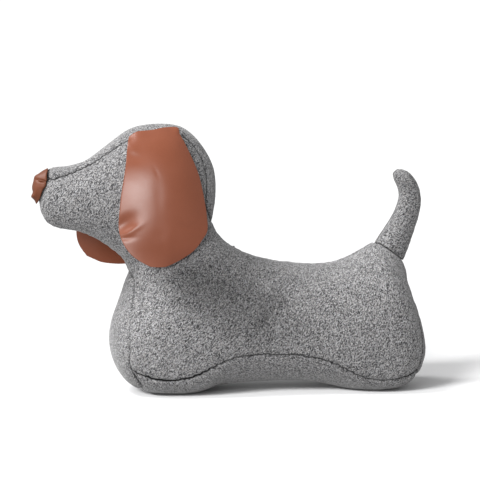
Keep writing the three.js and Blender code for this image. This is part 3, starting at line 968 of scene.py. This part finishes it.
# %% The nose
NOSE_FOLDS = [
    (-161.8, 180, 3.4, 1.0, -2.2, -12),
    (-159.5, 175.5, 3.2, 1.6, 0.6, 10),
    (-158, 179, 4.5, 4.5, 0.5, 0),
    (-163, 184.5, 4, 1.8, 0.4, 25),
    (-166, 172, 6, 2.5, 0.5, 80),
]
NOSE_PULLS = [
    (-167.5, 184, 3.2, -1.3, 1.1),
    (-169, 167.2, 2, -1.3, -0.4),
    (-168.8, 171, 2, 0.6, 0),
    (-163, 158.5, 4, -3, -0.8),
    (-157, 178, 5, 1.8, 0),
]
NOSE_CELL, NOSE_RIDGE = 0.6 * MM, 3 * MM  # the folds fade towards the nose's own ridge
nose = even_cells(rounded_copy("nose_cap", "nose"), NOSE_CELL)
nose_places = places_of(nose.data)
nose_side = np.clip(-nose_places[:, 1] / NOSE_RIDGE, 0, 1)[:, None]
put(nose.data, pulled(nose_places, NOSE_PULLS)
    + fold_lift(nose_places, NOSE_FOLDS) * nose_side * outward(nose.data))
print("nose", len(nose.data.polygons), "faces")

# %% [markdown]
# ## Where pieces are sewn onto the wool
# Wool is pressed down along the edge of whatever is sewn onto it, and lies in shade there; the
# finish paints that shade. Painting it by hand would not follow a change of the pieces. So each
# vertex takes its distance to the other piece as its distance to a seam, where that is less, and
# the finish paints shade there as it does in a seam's ditch.


# %% Joints between pieces
JOINT, JOINT_REACH = 0.6 * MM, 5 * MM


def shade_joint(piece, *others):
    """Where other pieces are sewn onto a piece, its finish treats their edges as seams and paints
    shade along them.
    """
    off = np.empty(len(piece.data.vertices), dtype=np.float32)
    piece.data.attributes["seam"].data.foreach_get("value", off)
    for other in others:
        surface = surface_of(other)
        near = [surface.find_nearest(vert.co, JOINT_REACH)[3] for vert in piece.data.vertices]
        away = np.array([JOINT_REACH if distance is None else distance for distance in near])
        off = np.minimum(off, np.maximum(away - JOINT, 0))
    piece.data.attributes["seam"].data.foreach_set("value", off.astype(np.float32))


shade_joint(dog, tail, nose)
shade_joint(tail, dog)
print("joints shaded within", JOINT_REACH / MM, "mm")

# %% [markdown]
# ## Wool cloth
# A melange yarn is spun from dark and light fleece, so each short stretch of yarn that the weave
# brings up has its own grey. A plain noise looks like stone. Cells of a Voronoi texture on the
# flat cloth stand for those stretches instead: a little longer than wide, leaning one way, light
# in their middle and dark in the gap between them. A wider, more even layer of cells gives the
# weave its rhythm, and a noise bends its rows. The same cells lift the surface. A sheen is the
# nap catching light at the outline. The tail's cloth is cut on the bias and a little darker.


# %% The wool finish
def ramp(node, stops):
    """Sets a colour ramp's stops."""
    elements = node.color_ramp.elements
    elements[0].position, elements[0].color = stops[0][0], (*stops[0][1], 1)
    elements[1].position, elements[1].color = stops[-1][0], (*stops[-1][1], 1)
    for place, colour in stops[1:-1]:
        elements.new(place).color = (*colour, 1)


YARN = (0.5, 0.85)  # a stretch of yarn across and along, in millimetres
WEAVE = (2.5, 2.6)  # the rhythm of the weave
LEAN = 0.5  # how far a stretch leans for its length
WEAVE_BENDS = (4, 4, 0)  # how far the rows wander, in millimetres
FLEECE = [  # the greys of the fleece, from the darkest to the lightest
    (0.0, (0.031, 0.031, 0.032)), (0.28, (0.091, 0.089, 0.091)), (0.48, (0.206, 0.203, 0.203)),
    (0.7, (0.336, 0.333, 0.328)), (1.0, (0.432, 0.429, 0.422)),
]


def wool_finish(name, turn=0.0, tone=1.0):
    """The wool, with its grain turned by so many degrees."""
    material, tree, shader = finish_nodes(name, 0.9, Sheen_Weight=0.3, Sheen_Roughness=0.45,
                                          Specular_IOR_Level=0.15)
    make = node_maker(tree)
    cloth = make("UVMap", uv_map="cloth")
    flat = make("Mapping", {"Vector": cloth.outputs["UV"], "Scale": (1000, 1000, 1000),
                            "Rotation": (0, 0, math.radians(turn))})
    bend = make("TexNoise", {"Vector": flat.outputs["Vector"], "Scale": 0.16, "Detail": 2})
    centred = make("VectorMath", {0: bend.outputs["Color"], 1: (0.5, 0.5, 0.5)},
                   operation="SUBTRACT")
    bent = make("VectorMath", {0: centred.outputs[0], 1: WEAVE_BENDS, 2: flat.outputs["Vector"]},
                operation="MULTIPLY_ADD")
    axes = make("SeparateXYZ", {0: bent.outputs[0]})
    across = make("Math", {0: axes.outputs["Y"], 1: -LEAN, 2: axes.outputs["X"]},
                  operation="MULTIPLY_ADD")
    leaning = make("CombineXYZ", {0: across.outputs[0], 1: axes.outputs["Y"]})

    def cells(size, randomness):
        place = make("Mapping", {"Vector": leaning.outputs[0],
                                 "Scale": (1 / size[0], 1 / size[1], 1)})
        return make("TexVoronoi", {"Vector": place.outputs["Vector"], "Scale": 1.0,
                                   "Randomness": randomness}, voronoi_dimensions="2D")

    # The greys of the stretches, darker in the gaps between them and by the weave's rhythm.
    yarn, weave = cells(YARN, 0.9), cells(WEAVE, 0.5)
    grey = make("SeparateColor", {0: yarn.outputs["Color"]})
    greys = make("ValToRGB", {"Fac": grey.outputs["Red"]})
    ramp(greys, [(place, tuple(tone * part for part in colour)) for place, colour in FLEECE])
    gap = make("MapRange", {"Value": yarn.outputs["Distance"], "From Min": 0.2, "From Max": 0.75,
                            "To Min": 1.15, "To Max": 0.65})
    rhythm = make("MapRange", {"Value": weave.outputs["Distance"], "From Min": 0.1,
                               "From Max": 0.65, "To Min": 1.12, "To Max": 0.84})
    # Painted shade in a seam's ditch, darkest where the seam is pulled hard.
    seam = make("Attribute", attribute_name="seam")
    painted_ditch_shade = make("MapRange", {"Value": seam.outputs["Fac"], "From Min": 0.0002,
                                 "From Max": 0.0013, "To Min": 0.75, "To Max": 0.0})
    pull = make("Attribute", attribute_name="pull")
    dark = make("Math", {0: painted_ditch_shade.outputs[0], 1: pull.outputs["Fac"]}, operation="MULTIPLY")
    lit = make("Math", {0: 1.0, 1: dark.outputs[0]}, operation="SUBTRACT", use_clamp=True)
    shade = make("Math", {0: gap.outputs[0], 1: rhythm.outputs[0]}, operation="MULTIPLY")
    shade = make("Math", {0: shade.outputs[0], 1: lit.outputs[0]}, operation="MULTIPLY")
    # Some fleece is a little warmer, some a little cooler.
    tint = make("MixRGB", {"Fac": grey.outputs["Green"], "Color1": (1.0, 0.975, 0.965, 1),
                           "Color2": (0.95, 0.97, 1.02, 1)})
    tinted = make("MixRGB", {"Fac": 1.0, "Color1": greys.outputs["Color"],
                             "Color2": tint.outputs["Color"]}, blend_type="MULTIPLY")
    shaded = make("MixRGB", {"Fac": 1.0, "Color1": tinted.outputs["Color"],
                             "Color2": shade.outputs[0]}, blend_type="MULTIPLY")
    tree.links.new(shaded.outputs["Color"], shader.inputs["Base Color"])
    # The stretches and the hairs on them stand up.
    hairs = make("TexNoise", {"Vector": leaning.outputs[0], "Scale": 2.5, "Detail": 3})
    relief = make("Math", {0: yarn.outputs["Distance"], 1: -1.0, 2: hairs.outputs["Fac"]},
                  operation="MULTIPLY_ADD")
    bump = make("Bump", {"Height": relief.outputs[0], "Strength": 0.35, "Distance": 0.0004})
    tree.links.new(bump.outputs["Normal"], shader.inputs["Normal"])
    return material


wool = wool_finish("wool")
tail_wool = wool_finish("wool_on_the_bias", turn=35, tone=0.88)
thread_finish, _, thread_shader = finish_nodes("thread", 0.7)
thread_shader.inputs["Base Color"].default_value = (0.03, 0.03, 0.033, 1)
print("wool", len(wool.node_tree.nodes), "nodes")

# %% [markdown]
# ## Leather
# The leather is smooth and softly shining, with a fine pebbled grain, and its colour drifts a
# little. One flat colour would look like plastic, so a noise drifts it and the shine with it,
# and the pebbles are bump alone, because they are far finer than the mesh. Its back is darker
# and dull, and its cut edge is pale. The nose is of a darker, duller piece.


# %% The leather finishes
def leather_finish(name, dark, light, roughness, grain=0.06, gloss=0.5):
    """A leather between two colours. Grain is the height of its pebbles."""
    material, tree, shader = finish_nodes(name, roughness, Specular_IOR_Level=gloss)
    make = node_maker(tree)
    place = make("TexCoord")
    drift = make("TexNoise", {"Vector": place.outputs["Object"], "Scale": 38, "Detail": 3})
    colour = make("MixRGB", {"Fac": drift.outputs["Fac"], "Color1": (*dark, 1),
                             "Color2": (*light, 1)})
    tree.links.new(colour.outputs["Color"], shader.inputs["Base Color"])
    pebble = make("TexVoronoi", {"Vector": place.outputs["Object"], "Scale": 1400})
    bump = make("Bump", {"Height": pebble.outputs["Distance"], "Strength": grain,
                         "Distance": 0.0002})
    tree.links.new(bump.outputs["Normal"], shader.inputs["Normal"])
    shine = make("MapRange", {"Value": drift.outputs["Fac"], "From Min": 0.3, "From Max": 0.7,
                              "To Min": roughness - 0.05, "To Max": roughness + 0.06})
    tree.links.new(shine.outputs["Result"], shader.inputs["Roughness"])
    return material


tan = leather_finish("tan_leather", (0.203, 0.058, 0.027), (0.245, 0.074, 0.037), 0.33, gloss=0.46)
nose_leather = leather_finish("nose_leather", (0.125, 0.037, 0.015), (0.16, 0.048, 0.021), 0.5,
                              gloss=0.35)
tan_back = leather_finish("leather_back", (0.1, 0.042, 0.03), (0.13, 0.055, 0.042), 0.6, 0.3, 0.3)
cut_edge = leather_finish("leather_edge", (0.3, 0.15, 0.09), (0.42, 0.24, 0.16), 0.7, 0.3, 0.3)
print("leathers", [finish.name for finish in (tan, nose_leather, tan_back, cut_edge)])

# %% Every piece gets its finish
for piece, finishes in {
    dog: [wool],
    tail: [tail_wool],
    thread: [thread_finish],
    near_ear: [tan, tan_back, cut_edge],
    far_ear: [tan, tan_back, cut_edge],
    nose: [nose_leather],
}.items():
    for finish in finishes:
        piece.data.materials.append(finish)
    print(piece.name, "in", [finish.name for finish in finishes])

# %% [markdown]
# ## Putting the pieces together
# Each piece is hung on one empty, and the solids that it stands for are hidden.

# %% Each piece on one empty, and its solids hidden
for piece, nodes, slot in [
    (dog, PANELS, "wool"),
    (tail, ["tail"], "wool"),
    (thread, [], "wool"),
    (near_ear, ["ear_left"], "leather"),
    (far_ear, ["ear_right"], "leather"),
    (nose, ["nose"], "leather"),
]:
    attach(piece, "root")
    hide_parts(*nodes)
print("pieces", [piece.name for piece in (dog, tail, thread, near_ear, far_ear, nose)])
